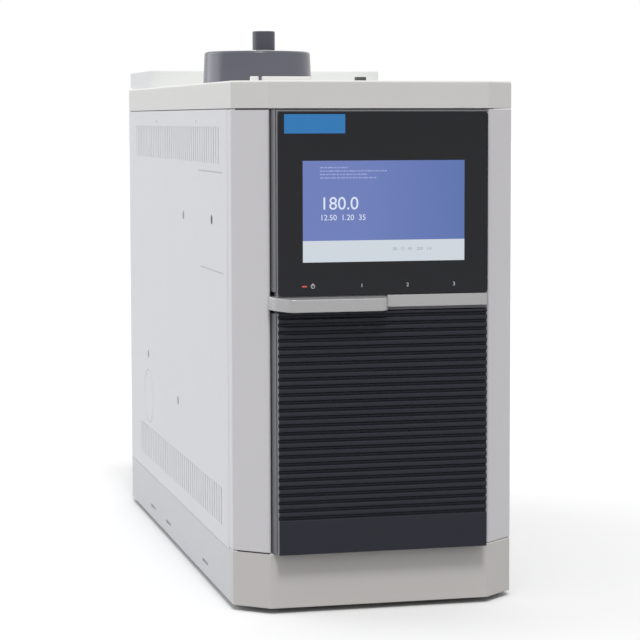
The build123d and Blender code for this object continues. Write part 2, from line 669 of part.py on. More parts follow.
def fid_collector():
    """Collector and its cap on top of the detector body."""
    return rod_z(484, 498, FID_X, FID_Y, 11.0) + rod_z(498, 506, FID_X, FID_Y, 6.0)


def igniter():
    """Glow plug let into the side of the detector body."""
    plug = rod_x(FID_X - 36, FID_X - 15, FID_Y, 476, 3.0)
    return plug + rod_x(FID_X - 40, FID_X - 28, FID_Y, 476, 5.0)


def fan_frame(x):
    """Square fan housing with its motor carried on four struts."""
    y0, y1 = BACK - FRAME - 25, BACK - FRAME
    frame = block(x - 40, x + 40, y0, y1, FAN_Z - 40, FAN_Z + 40) - rod_y(y0 - 1, y1 + 1, x, FAN_Z, FAN_R)
    frame += rod_y(y1 - 6, y1, x, FAN_Z, 15.0)
    for turn in (45, 135, 225, 315):
        strut = block(14, 39, y1 - 4, y1, -1.5, 1.5)
        frame += Pos(x, 0, FAN_Z) * Rot(0, turn, 0) * strut
    return frame - rod_y(y0, y1 - 1, x, FAN_Z, PIN_R + RUN)


def fan_rotor(x):
    """Hub with seven pitched blades and its shaft."""
    y0, y1 = BACK - FRAME - 24, BACK - FRAME - 7
    rotor = rod_y(y0, y1, x, FAN_Z, 15.0) + rod_y(y1, y1 + 5, x, FAN_Z, PIN_R)
    for i in range(7):
        blade = Pos(25.0, (y0 + y1) / 2, 0) * Rot(38, 0, 0) * Box(22.0, 15.0, 1.5)
        rotor += Pos(x, 0, FAN_Z) * Rot(0, 360 * i / 7, 0) * blade
    return rotor


def power_inlet():
    """Mains inlet with three blades beside the well of the power switch."""
    body = block(-116, -59, BACK - 30, BACK, 32, 68) + block(-120, -55, BACK, BACK + 2, 28, 72)
    body -= block(-113, -85, BACK - 17, BACK + 3, 39, 61)
    body -= block(-79, -61, BACK - 15, BACK + 3, 34, 66)
    for x, z in ((-106.0, 47.5), (-99.0, 52.5), (-92.0, 47.5)):
        body += block(x - 1, x + 1, BACK - 17, BACK - 8, z - 2, z + 2)
    return body + rod_x(-79, -61, BACK - 5, 50, 1.2)


def power_rocker():
    """Rocker of the power switch, tipped to its off side."""
    z, y = 50.0, BACK - 5
    body = block(-78.4, -61.6, y - 3, y + 6, z - 13.5, z + 13.5)
    body += rod_x(-78.4, -61.6, y - 2, z, 3.2)
    body -= block(-79, -61, y + 4.5, y + 7, z - 10, z + 10)
    body -= rod_x(-79, -61, y, z, 1.2 + RUN)
    return Pos(0, y, z) * Rot(8, 0, 0) * Pos(0, -y, -z) * body


def network_port(x):
    """Network socket let into the rear panel."""
    body = block(x - 8, x + 8, BACK - 18, BACK + 0.6, 43.5, 57.5)
    return body - block(x - 5.9, x + 5.9, BACK - 13, BACK + 1, 46.5, 54.5)


def write_all():
    """Build every piece and write it as one node."""
    os.makedirs("parts", exist_ok=True)
    save("base_pan", base_pan())
    save("base_front", base_front())
    save("feet", *feet())
    save("left_side_panel", left_side_panel())
    save("right_side_panel", plain_right_panel())
    save("front_pillar_right", pillar())
    save("front_pillar_left", mirrored(pillar()))
    save("top_cover", top_cover())
    save("top_guide_strip", *top_guide_strip())
    save("top_stop", top_stop())
    save("inlet_shroud", inlet_shroud())
    save("inlet_body", inlet_body())
    save("septum_nut", septum_nut())
    save("inlet_bracket", inlet_bracket())
    save("detector_cover", detector_cover())
    save("lid_brackets", lid_bracket(-1), lid_bracket(1))
    save("lid_hinge_pins", lid_pin(-1), lid_pin(1))
    save("front_frame", bulkhead(FRAME_Y, []))
    save("mid_bulkhead", bulkhead(MID_Y, air_windows((16.0, 66.0), (170.0, 240.0, 310.0))
                                  + [(-60.6, -52.0, 405.0, 415.0)]))
    tube_holes = [(x - 4, x + 4, GAS_Z - 4, GAS_Z + 4) for x in GAS_X]
    save("rear_bulkhead", bulkhead(REAR_Y, tube_holes
                                   + air_windows((-104.0, -54.0, 16.0, 66.0), (170.0, 240.0))))
    save("rear_panel", rear_panel())
    save("display_housing", display_housing())
    save("display_glass", display_glass())
    save("lcd_panel", lcd_panel())
    save("display_board", display_board())
    save("handle_bar", handle_bar())
    save("trim_strip", trim_strip())
    save("display_hinge_arms", display_arm(-ARM_X), display_arm(ARM_X))
    save("display_hinge_pins", display_pin(-ARM_X), display_pin(ARM_X))
    save("door_shell", door_shell())
    save("door_liner", door_liner())
    save("door_hinge_arms", *[door_arm(z) for z in DOOR_ARM_Z])
    save("door_hinge_pins", *[door_pin(z) for z in DOOR_ARM_Z])
    save("door_magnet", door_magnet())
    save("door_catch", door_catch())
    save("column_heater", column_heater())
    save("column_module", column_module())
    save("bus_block", bus_block())
    save("flow_chips", flow_chip(-KNOB_X), flow_chip(0), flow_chip(KNOB_X))
    save("guard_chip", guard_chip())
    save("clamp_studs", clamp_stud(-KNOB_X), clamp_stud(KNOB_X))
    save("clamp_knob_left", clamp_knob(-KNOB_X))
    save("clamp_knob_right", clamp_knob(KNOB_X))
    save("epc_manifold", epc_manifold())
    save("epc_modules", *epc_modules())
    save("gas_lines", *gas_lines())
    save("gas_fittings", *[gas_fitting(x) for x in GAS_X])
    save("inlet_line", inlet_line())
    save("power_supply", power_supply())
    save("main_board", main_board())
    save("detector_shelf", detector_shelf())
    save("fid_body", fid_body())
    save("fid_collector", fid_collector())
    save("igniter", igniter())
    save("fan_frames", fan_frame(-FAN_X), fan_frame(FAN_X))
    save("fan_rotor_left", fan_rotor(-FAN_X))
    save("fan_rotor_right", fan_rotor(FAN_X))
    save("power_inlet", power_inlet())
    save("power_rocker", power_rocker())
    save("network_ports", *[network_port(x) for x in NETWORK_X])


write_all()
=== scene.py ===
"""Looks of the bench gas chromatograph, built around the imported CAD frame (metres, +Z up)."""
import json
import math
import random

import bmesh
import bpy
from mathutils import Matrix, Vector


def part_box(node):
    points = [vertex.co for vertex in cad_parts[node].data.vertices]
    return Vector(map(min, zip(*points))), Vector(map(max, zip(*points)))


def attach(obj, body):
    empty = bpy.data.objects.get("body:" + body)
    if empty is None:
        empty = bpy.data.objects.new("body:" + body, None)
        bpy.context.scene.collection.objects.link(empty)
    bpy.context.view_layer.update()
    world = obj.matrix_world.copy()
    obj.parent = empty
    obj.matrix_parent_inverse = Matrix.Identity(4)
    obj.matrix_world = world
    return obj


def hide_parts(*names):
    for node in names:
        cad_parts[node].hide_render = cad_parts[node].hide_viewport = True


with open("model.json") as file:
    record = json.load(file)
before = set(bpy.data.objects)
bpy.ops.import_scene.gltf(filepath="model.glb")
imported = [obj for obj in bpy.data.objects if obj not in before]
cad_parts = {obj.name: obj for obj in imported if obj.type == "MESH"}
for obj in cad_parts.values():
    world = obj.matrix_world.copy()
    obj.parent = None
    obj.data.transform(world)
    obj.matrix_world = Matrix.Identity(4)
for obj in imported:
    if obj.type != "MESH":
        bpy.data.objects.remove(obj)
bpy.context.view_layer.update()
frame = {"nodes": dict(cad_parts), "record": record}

MM = 0.001
SLOT = {part["node"]: part["material_slot"] for part in frame["record"]["subparts"]}
BODY = {node: body
        for body, nodes in frame["record"]["behaviour"]["bodies"].items() for node in nodes}

# ---- the screen, in metres -----------------------------------------------------------------------
GLASS_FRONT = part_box("display_glass")[0].y
SCREEN_HALF = 76.6 * MM               # half the lit width
SCREEN_LOW = 326.0 * MM
BAND_HIGH = 345.6 * MM                # top of the pale band along the foot
SCREEN_HIGH = 418.4 * MM
SCREEN_INDENT = 16 * MM               # the text's left margin
FILM = 0.05 * MM                      # thickness of the lit layers and of the figures
FIGURE_SHARE = 0.70                   # height of a figure as a share of the font's size

# ---- places, in millimetres: x from the middle, y to the rear, z from the floor ------------------
FRONT = -317.0                        # front face of the body
BACK = 333.0                          # rear panel's outer face
HALF = 135.0                          # half the body's width
FRAME_Y = FRONT + 46.5                # front frame's face, behind door and display
BUS_FRONT_Y = FRAME_Y - 12            # heated block's face
HINGE_FOOT_Y = FRAME_Y - 3            # face of the hinge arms' feet on the frame
SIDE_WALL_X = 99.0                    # door and display faces further out are their side walls
DOOR_INNER_Y = FRONT + 9.0            # door liner's face
HOUSING_REAR_Y = FRONT + 20.0         # display housing's rear face
DOOR_HINGE_X = 89.0
DOOR_ARM_Z = (73.5, 264.5)
DISPLAY_ARM_X = 80.0
DISPLAY_ARM_Z = 438.0
COLUMN_Z = 168.0                      # middle of the column dish
COLUMN_FLOOR_Y = FRAME_Y - 15.0       # bottom of the dish
KNOB_X = 40.0                         # clamp knobs, either side
PORT_Z = (324.0, 346.0)               # the chips' ports, clear of the knobs
GAS_X = (-96.0, -76.0, -56.0, -36.0)
GAS_Z = 350.0
MODULE_Y = FRONT + 356.0              # pneumatic modules' front
MODULE_TOP = 370.0
NETWORK_X = (60.0, 84.0)
MAINS_BLADES = ((-106.0, 47.5), (-99.0, 52.5), (-92.0, 47.5))
ROCKER_X = -70.0
ROCKER_PIVOT_Y = BACK - 5.0
ROCKER_PIVOT_Z = 50.0
ROCKER_TILT = 8                       # degrees that the rocker stands over at rest
FAN_X = 50.0
FAN_Z = 270.0
FAN_SCREW = 35.7                      # fan screws, from the fan's middle
FID_X = 60.0
FID_Y = FRONT + 575.0
SHELF_TOP = 430.0
SUPPLY_TOP = 92.0
MAIN_BOARD_Y = FRONT + 500.0 - 7.6    # front face of the main board
DISPLAY_BOARD_Y = FRONT - 4.4 + 2.5   # rear face of the display's board
STATUS_X = (-22.5, 21.0, 65.5)

# ---- meshes: angles in degrees, distance in metres -----------------------------------------------
SMOOTH_BELOW = 35                     # edges flatter than this are shaded smooth
ROUND_ABOVE = 32                      # edges sharper than this are rounded
SAME_PLANE = 0.3                      # faces within this angle are joined
SAME_POINT = 1e-6

# ---- materials: noise in cells per metre, depth in metres ----------------------------------------
MOTTLE_SCALE = 14.0
WEAR_SCALE = 60.0
GRAIN_DEPTH = 0.0001

# ---- camera, in metres, degrees and millimetres of lens ------------------------------------------
CAMERA_PLACE = (-0.5292, -2.302, 0.4561)
CAMERA_YAW, CAMERA_TILT, CAMERA_ROLL = 13.984, 4.429, -0.098
CAMERA_LENS = 125.36
CAMERA_SHIFT = (-0.0372, -0.0442)

# ---- light: a level of 1 shows a colour as it is written -----------------------------------------
WORLD_LEVEL = 0.74
LEFT_LEVEL = 0.345
LEFT_TOWARDS = (-0.83, 0.56, 0.24)
LEFT_SPREAD = 52
LEFT_TINT = (0.98, 1.0, 1.06)
TOP_LEVEL = 0.40
TOP_TOWARDS = (-0.05, -0.5, 0.87)
TOP_SPREAD = 14
FLOOR_BOUNCE = 0.18
FLOOR_SEEN = 0.92
FLOOR_REACH = 40.0


# ---- colours and materials -----------------------------------------------------------------------
def srgb(red, green, blue):
    """Linear colour from 0-255 display values."""
    out = []
    for value in (red, green, blue):
        part = value / 255
        out.append(part / 12.92 if part <= 0.04045 else ((part + 0.055) / 1.055) ** 2.4)
    return (*out, 1.0)


def shade(colour, factor):
    return (*[min(1.0, channel * factor) for channel in colour[:3]], 1.0)


def link(tree, source, output, target, socket):
    tree.links.new(source.outputs[output], target.inputs[socket])


def noise(tree, scale, detail, stretch=(1, 1, 1)):
    """Noise in the row frame; scale is in cells per metre."""
    coords = tree.nodes.new("ShaderNodeTexCoord")
    mapping = tree.nodes.new("ShaderNodeMapping")
    mapping.inputs["Scale"].default_value = stretch
    link(tree, coords, "Object", mapping, "Vector")
    texture = tree.nodes.new("ShaderNodeTexNoise")
    texture.inputs["Scale"].default_value = scale
    texture.inputs["Detail"].default_value = detail
    link(tree, mapping, "Vector", texture, "Vector")
    return texture


def surface(name, colour, rough, metal=0.0, grain=900.0, bump=0.25, mottle=0.03, rough_swing=0.06,
            stretch=(1, 1, 1), coat=0.0, specular=0.5):
    """Principled surface with soft colour mottling, roughness variation and a fine grain."""
    made = bpy.data.materials.new(name)
    made.use_nodes = True
    tree = made.node_tree
    shader = tree.nodes["Principled BSDF"]
    shader.inputs["Metallic"].default_value = metal
    shader.inputs["Specular IOR Level"].default_value = specular
    shader.inputs["Coat Weight"].default_value = coat

    mix = tree.nodes.new("ShaderNodeMix")
    mix.data_type = "RGBA"
    mix.inputs["A"].default_value = shade(colour, 1 - mottle)
    mix.inputs["B"].default_value = shade(colour, 1 + mottle)
    link(tree, noise(tree, MOTTLE_SCALE, 4.0), "Fac", mix, "Factor")
    link(tree, mix, "Result", shader, "Base Color")

    swing = tree.nodes.new("ShaderNodeMapRange")
    swing.inputs["To Min"].default_value = rough - rough_swing
    swing.inputs["To Max"].default_value = rough + rough_swing
    link(tree, noise(tree, WEAR_SCALE, 5.0, stretch), "Fac", swing, "Value")
    link(tree, swing, "Result", shader, "Roughness")

    relief = tree.nodes.new("ShaderNodeBump")
    relief.inputs["Strength"].default_value = bump
    relief.inputs["Distance"].default_value = GRAIN_DEPTH
    link(tree, noise(tree, grain, 2.0, stretch), "Fac", relief, "Height")
    link(tree, relief, "Normal", shader, "Normal")
    return made


def glow(name, colour, strength, far_colour=None, span=None):
    """Lit screen surface; with far_colour the colour drifts along X over span."""
    made = bpy.data.materials.new(name)
    made.use_nodes = True
    tree = made.node_tree
    shader = tree.nodes["Principled BSDF"]
    shader.inputs["Base Color"].default_value = (0.01, 0.01, 0.012, 1.0)
    shader.inputs["Roughness"].default_value = 0.12
    shader.inputs["Emission Strength"].default_value = strength
    shader.inputs["Emission Color"].default_value = colour
    if far_colour:
        coords = tree.nodes.new("ShaderNodeTexCoord")
        parts = tree.nodes.new("ShaderNodeSeparateXYZ")
        ramp = tree.nodes.new("ShaderNodeMapRange")
        ramp.inputs["From Min"].default_value = span[0]
        ramp.inputs["From Max"].default_value = span[1]
        mix = tree.nodes.new("ShaderNodeMix")
        mix.data_type = "RGBA"
        mix.inputs["A"].default_value = colour
        mix.inputs["B"].default_value = far_colour
        link(tree, coords, "Object", parts, "Vector")
        link(tree, parts, "X", ramp, "Value")
        link(tree, ramp, "Result", mix, "Factor")
        link(tree, mix, "Result", shader, "Emission Color")
    return made


FINISH = {
    "panel_grey": surface("panel_grey", srgb(227, 227, 231), 0.42, grain=1400, bump=0.12,
                          mottle=0.012),
    "cover_grey": surface("cover_grey", srgb(229, 228, 225), 0.48, grain=2200, bump=0.18,
                          mottle=0.012),
    "lid_white": surface("lid_white", srgb(236, 238, 237), 0.45, grain=2200, bump=0.15,
                         mottle=0.01),
    "shroud_slate": surface("shroud_slate", srgb(91, 92, 103), 0.22, grain=2000, bump=0.1,
                            mottle=0.02),
    "dark_anodised": surface("dark_anodised", srgb(74, 76, 86), 0.42, metal=0.2, grain=2500,
                             bump=0.1),
    "housing_grey": surface("housing_grey", srgb(122, 122, 126), 0.45, grain=2200, bump=0.15,
                            mottle=0.02),
    "black_window": surface("black_window", srgb(26, 27, 33), 0.08, grain=30, bump=0.0,
                            mottle=0.05, rough_swing=0.03, specular=0.25),
    "door_charcoal": surface("door_charcoal", srgb(44, 45, 54), 0.45, grain=2000, bump=0.25,
                             mottle=0.03, specular=0.2),
    "silver_rail": surface("silver_rail", srgb(181, 180, 181), 0.32, metal=0.35, grain=1800,
                           bump=0.08, mottle=0.01),
    "black_rubber": surface("black_rubber", srgb(38, 38, 38), 0.8, grain=1200, bump=0.5,
                            mottle=0.08),
    "zinc_steel": surface("zinc_steel", srgb(196, 198, 202), 0.38, metal=0.9, grain=400,
                          bump=0.12, mottle=0.06, stretch=(1, 1, 0.15)),
    "stainless": surface("stainless", srgb(205, 203, 198), 0.28, metal=1.0, grain=1500, bump=0.1,
                         mottle=0.04, stretch=(1, 1, 0.2)),
    "aluminium": surface("aluminium", srgb(215, 216, 218), 0.35, metal=1.0, grain=1300,
                         bump=0.15, mottle=0.04, stretch=(0.15, 1, 1)),
    "brass": surface("brass", srgb(214, 176, 96), 0.3, metal=1.0, grain=1300, bump=0.1,
                     mottle=0.05),
    "board_green": surface("board_green", srgb(24, 92, 52), 0.35, grain=900, bump=0.1,
                           mottle=0.12, coat=0.3),
    "black_plastic": surface("black_plastic", srgb(40, 40, 42), 0.5, grain=1800, bump=0.3,
                             mottle=0.05),
    "lcd_grey": surface("lcd_grey", srgb(70, 70, 72), 0.4, metal=0.5, grain=900, bump=0.1),
}

# finishes of single pieces, whose slot's own finish differs a little
SCREEN_BLUE = glow("screen_blue", srgb(97, 115, 178), 1.0, srgb(76, 102, 166),
                   (-0.02, SCREEN_HALF))
SCREEN_PALE = glow("screen_pale", srgb(200, 208, 216), 1.0)
SCREEN_INK = glow("screen_ink", srgb(214, 222, 240), 1.0)
SCREEN_GREY = glow("screen_grey", srgb(140, 150, 165), 1.0)
SCREEN_DIM = glow("screen_dim", srgb(148, 160, 212), 1.0)
LED_ORANGE = glow("led_orange", srgb(206, 84, 66), 1.0)
MARK_WHITE = surface("mark_white", srgb(226, 228, 230), 0.5, mottle=0.01)
LED_GREEN = glow("led_green", srgb(60, 150, 80), 0.6)
# painted shade for the left panel's grooves
GROOVE_SHADE_GREY = surface("groove_shade_grey", srgb(190, 191, 196), 0.45, grain=1400, bump=0.12, mottle=0.012)
TRIM_GREY = surface("trim_grey", srgb(114, 114, 118), 0.4, grain=2200, bump=0.15, mottle=0.02)
# side_grey: on the door's and the housing's side walls a painted sheen, lighter for the light from
# the left and the grazing reflection; on the plugs and slot liners their own grey
SIDE_GREY = surface("side_grey", srgb(136, 136, 140), 0.4, grain=2200, bump=0.15, mottle=0.02)
STOP_GREY = surface("stop_grey", srgb(78, 79, 77), 0.7, grain=1200, bump=0.4, mottle=0.06)
PILLAR_GREY = surface("pillar_grey", srgb(224, 222, 225), 0.42, grain=1400, bump=0.12,
                      mottle=0.012)
# the base front's and the skirt's greys are painted darker than the cover and panels: painted shade
# for the weaker light near the floor
BASE_SHADE_GREY = surface("base_shade_grey", srgb(213, 210, 207), 0.48, grain=2200, bump=0.18, mottle=0.012)
SKIRT_SHADE_GREY = surface("skirt_shade_grey", srgb(208, 210, 214), 0.42, grain=1400, bump=0.12,
                     mottle=0.012)
PLATE_BLUE = surface("plate_blue", srgb(37, 134, 207), 0.3, grain=600, bump=0.05, mottle=0.02)

for name, node in frame["nodes"].items():
    node.data.materials.clear()
    node.data.materials.append(FINISH[SLOT[name]])


# ---- pieces --------------------------------------------------------------------------------------
def add_piece(name, mesh, finish, body, replaces=None):
    """Link a mesh as a piece that rides on a body and wears the finish given; the node it replaces
    is hidden.
    """
    piece = bpy.data.objects.new(name, mesh)
    bpy.context.scene.collection.objects.link(piece)
    mesh.materials.clear()
    mesh.materials.append(finish)
    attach(piece, body)
    if replaces:
        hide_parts(replaces)
    return piece


def applied_mesh(draft):
    """The mesh of a draft object with its modifiers applied; the draft is removed."""
    graph = bpy.context.evaluated_depsgraph_get()
    mesh = bpy.data.meshes.new_from_object(draft.evaluated_get(graph))
    bpy.data.objects.remove(draft)
    return mesh


def mesh_from(build, smooth=True):
    """Mesh from a function that fills a bmesh."""
    made = bpy.data.meshes.new("mesh")
    work = bmesh.new()
    build(work)
    bmesh.ops.recalc_face_normals(work, faces=work.faces)
    work.to_mesh(made)
    work.free()
    if smooth:
        made.shade_smooth()
        made.set_sharp_from_angle(angle=math.radians(SMOOTH_BELOW))
    return made


def add_built(name, build, slot, body, replaces=None, finish=None):
    """Piece from a building function, finished as its slot says or with a finish of its own."""
    return add_piece(name, mesh_from(build), finish or FINISH[slot], body, replaces)


def paint_side_sheen(mesh, finish):
    """Paint the side walls, which look left or right, with a second, lighter finish: a painted
    sheen for the light from the left and the reflection at grazing angles.
    """
    sideways = 0.93
    mesh.materials.append(finish)
    for face in mesh.polygons:
        if abs(face.normal.x) > sideways and abs(face.center.x) > SIDE_WALL_X * MM:
            face.material_index = 1


def soften(node, width, segments=2, finish=None):
    """A copy of a CAD node with its sharp edges rounded stands for the node."""
    mesh = frame["nodes"][node].data.copy()
    work = bmesh.new()
    work.from_mesh(mesh)
    bmesh.ops.remove_doubles(work, verts=work.verts, dist=SAME_POINT)
    bmesh.ops.dissolve_limit(work, angle_limit=math.radians(SAME_PLANE), verts=work.verts,
                             edges=work.edges)
    work.to_mesh(mesh)
    work.free()
    mesh.shade_smooth()
    draft = bpy.data.objects.new(node + "_draft", mesh)
    bpy.context.scene.collection.objects.link(draft)
    rounding = draft.modifiers.new("rounding", "BEVEL")
    rounding.width = width
    rounding.segments = segments
    rounding.limit_method = "ANGLE"
    rounding.angle_limit = math.radians(ROUND_ABOVE)
    rounding.use_clamp_overlap = False
    draft.modifiers.new("flat_faces", "WEIGHTED_NORMAL")
    final = applied_mesh(draft)
    return add_piece(node + "_shell", final, finish or FINISH[SLOT[node]], BODY[node],
                     node)


# ---- shapes --------------------------------------------------------------------------------------
def at(x, y, z):
    """Place in metres from millimetres."""
    return Vector((x, y, z)) * MM


def box_into(work, low, high, edge=0.0):
    """Add an axis-aligned box to a bmesh, its edges bevelled where edge is given."""
    size = [high[i] - low[i] for i in range(3)]
    middle = [(high[i] + low[i]) / 2 for i in range(3)]
    matrix = Matrix.Translation(middle) @ Matrix.Diagonal((*size, 1.0))
    verts = bmesh.ops.create_cube(work, size=1.0, matrix=matrix)["verts"]
    if edge:
        edges = {line for vert in verts for line in vert.link_edges}
        bmesh.ops.bevel(work, geom=list(edges), offset=edge, segments=2, affect="EDGES",
                        profile=0.5)


def lathe(work, centre, axis, profile, count, lobes=0, swing=0.0, lobed=()):
    """Turned shape of count sides from (radius, height) pairs in mm.

    The rings whose place in the profile is in lobed wave in and out, by swing of their radius.
    """
    turn = Vector(axis).to_track_quat("Z", "Y").to_matrix().to_4x4()
    matrix = Matrix.Translation(centre) @ turn
    rings = []
    for index, (radius, height) in enumerate(profile):
        if radius == 0:
            rings.append([work.verts.new(matrix @ at(0, 0, height))])
            continue
        ring = []
        for i in range(count):
            angle = 2 * math.pi * (i + 0.5) / count
            reach = radius * (1 + swing * math.cos(lobes * angle)) if index in lobed else radius
            ring.append(work.verts.new(matrix @ at(reach * math.cos(angle), reach * math.sin(angle),
                                                   height)))
        rings.append(ring)
    for low, high in zip(rings, rings[1:]):
        for i in range(count):
            j = (i + 1) % count
            corners = [low[i % len(low)], low[j % len(low)],
                       high[j % len(high)], high[i % len(high)]]
            corners = list(dict.fromkeys(corners))
            if len(corners) > 2:
                work.faces.new(corners)


def tube(work, points, radius, sides=8):
    """Round tube in metres along a list of points, closed at both ends."""
    rings = []
    normal = None
    for i, point in enumerate(points):
        ahead = points[min(i + 1, len(points) - 1)] - points[max(i - 1, 0)]
        ahead.normalize()
        if normal is None:
            normal = ahead.orthogonal().normalized()
        normal = (normal - ahead * normal.dot(ahead)).normalized()
        other = ahead.cross(normal)
        rings.append([work.verts.new(point + radius * (math.cos(2 * math.pi * k / sides) * normal
                                                       + math.sin(2 * math.pi * k / sides) * other))
                      for k in range(sides)])
    for low, high in zip(rings, rings[1:]):
        for k in range(sides):
            m = (k + 1) % sides
            work.faces.new((low[k], low[m], high[m], high[k]))
    work.faces.new(rings[0])
    work.faces.new(rings[-1])


def rounded_path(corners, radius, steps=6):
    """Points along straight runs in mm whose corners are rounded to a radius."""
    corners = [Vector(corner) for corner in corners]
    points = [corners[0]]
    for before, corner, after in zip(corners, corners[1:], corners[2:]):
        start = corner + (before - corner).normalized() * radius
        end = corner + (after - corner).normalized() * radius
        for i in range(steps + 1):
            part = i / steps
            points.append(start * (1 - part) ** 2 + corner * 2 * part * (1 - part)
                          + end * part ** 2)
    points.append(corners[-1])
    return [point * MM for point in points]


def screw(work, centre, axis, radius):
    """Pan head screw with a six-lobed recess; centre and radius in mm."""
    head = 0.62 * radius
    recess = head - 0.9
    lathe(work, at(*centre), axis,
          [(0, recess), (0.42 * radius, recess), (0.46 * radius, head), (0.72 * radius, head),
           (0.93 * radius, 0.62 * head), (radius, 0.15 * head), (radius, 0), (0, 0)],
          24, lobes=6, swing=0.2, lobed=(1, 2))


def screws(name, centres, axis, body, radius):
    """A set of alike screws as one piece."""
    def build(work):
        for centre in centres:
            screw(work, centre, axis, radius)
    return add_built(name, build, "zinc_steel", body)


def plate(name, x0, x1, z0, z1, y_front, thickness, finish, body, rounding=0.0):
    """Thin flat plate facing -Y."""
    def build(work):
        box_into(work, (x0, y_front, z0), (x1, y_front + thickness, z1))
        if rounding:
            edges = [edge for edge in work.edges
                     if abs((edge.verts[0].co - edge.verts[1].co).y) > thickness / 2]
            bmesh.ops.bevel(work, geom=edges, offset=rounding, segments=4, affect="EDGES",
                            profile=0.5)
    return add_piece(name, mesh_from(build), finish, body)


def lettering(name, text, x, z, height, y_front, finish, body):
    """Plain numbers as a thin mesh facing -Y, left end at x, foot at z."""
    curve = bpy.data.curves.new(name, "FONT")
    curve.body = text
    curve.size = height / FIGURE_SHARE
    curve.extrude = FILM
    draft = bpy.data.objects.new(name + "_draft", curve)
    bpy.context.scene.collection.objects.link(draft)
    mesh = applied_mesh(draft)
    mesh.transform(Matrix.Translation((x, y_front, z)) @ Matrix.Rotation(math.radians(90), 4, "X"))
    return add_piece(name, mesh, finish, body)


# ---- display -------------------------------------------------------------------------------------
def dress_screen():
    """Lit layers on the glass: blue field, pale band, rows of dashes and plain numbers."""
    layer = GLASS_FRONT - 0.10 * MM
    front = GLASS_FRONT - 0.2 * MM
    left = -SCREEN_HALF + SCREEN_INDENT
    plate("screen_field", -SCREEN_HALF, SCREEN_HALF, BAND_HIGH, SCREEN_HIGH, layer, FILM,
          SCREEN_BLUE, "display_unit")
    plate("screen_band", -SCREEN_HALF, SCREEN_HALF, SCREEN_LOW, BAND_HIGH, layer, FILM,
          SCREEN_PALE, "display_unit")

    random.seed(7)
    row_lengths = (26, 63, 45, 53)
    dash_lengths = (1.6, 2.4, 3.4, 5.0)
    first_row, row_pitch, row_height, gap = 6.8, 3.1, 1.0 * MM, 0.8 * MM

    def rows(work):
        for row, length in enumerate(row_lengths):
            z = SCREEN_HIGH - (first_row + row_pitch * row) * MM
            x = left
            end = x + length * MM
            while x < end:
                dash = random.choice(dash_lengths) * MM
                box_into(work, (x, front, z),
                         (min(x + dash, end), GLASS_FRONT - 0.14 * MM, z + row_height))
                x += dash + gap
    add_piece("screen_rows", mesh_from(rows, False), SCREEN_DIM, "display_unit")

    for name, text, x, up, height, finish in (
            ("screen_value", "180.0", left, 48, 11.5, SCREEN_INK),
            ("screen_values", "12.50  1.20  35", left, 38.3, 5.0, SCREEN_INK),
            ("screen_clock", "00 : 12 : 45    250   1.0", 8 * MM, 10, 2.8, SCREEN_GREY)):
        lettering(name, text, x, SCREEN_LOW + up * MM, height * MM, front, finish, "display_unit")


def dress_window():
    """Bare plate, lamp, power ring and plain status numbers on the black window."""
    y = GLASS_FRONT
    plate("name_plate", -93.7 * MM, -36.8 * MM, 443.2 * MM, 460.6 * MM, y - 0.25 * MM, 0.25 * MM,
          PLATE_BLUE, "display_unit", 0.4 * MM)
    plate("status_lamp", -77.6 * MM, -72.8 * MM, 303.5 * MM, 304.7 * MM, y - 0.15 * MM, 0.15 * MM,
          LED_ORANGE, "display_unit", 0.5 * MM)
    for mark, x in zip("123", STATUS_X):
        lettering("status_" + mark, mark, x * MM, 302.6 * MM, 3.4 * MM, y - 0.1 * MM, MARK_WHITE,
                  "display_unit")

    def ring(work):
        centre = Vector((-67.4 * MM, y - 0.1 * MM, 304.2 * MM))
        outer, inner = 2.0 * MM, 1.45 * MM
        count, open_by = 40, 2
        loops = []
        for radius in (outer, inner):
            loop = [work.verts.new(centre
                                   + Vector((radius * math.sin(2 * math.pi * i / count), 0,
                                             radius * math.cos(2 * math.pi * i / count))))
                    for i in range(count)]
            loops.append(loop)
        for i in range(open_by, count - open_by):
            j = (i + 1) % count
            work.faces.new((loops[0][i], loops[0][j], loops[1][j], loops[1][i]))
        box_into(work, (centre.x - 0.35 * MM, centre.y, centre.z + 0.3 * MM),
                 (centre.x + 0.35 * MM, centre.y + 0.05 * MM, centre.z + 2.6 * MM))
    add_piece("power_mark", mesh_from(ring, False), MARK_WHITE, "display_unit")


def dress_display():
    """Rounded housing with side walls painted lighter as a painted sheen, glass and rail, screws at
    the rear, the screen.
    """
    housing = soften("display_housing", 0.4 * MM)
    paint_side_sheen(housing.data, SIDE_GREY)
    soften("display_glass", 0.35 * MM)
    soften("handle_bar", 1.0 * MM, 3)
    soften("trim_strip", 0.5 * MM)
    screws("housing_screws",
           [(x, HOUSING_REAR_Y, z) for x in (-92, -40, 40, 92) for z in (300, 415)], (0, 1, 0),
           "display_unit", 2.2)
    dress_screen()
    dress_window()


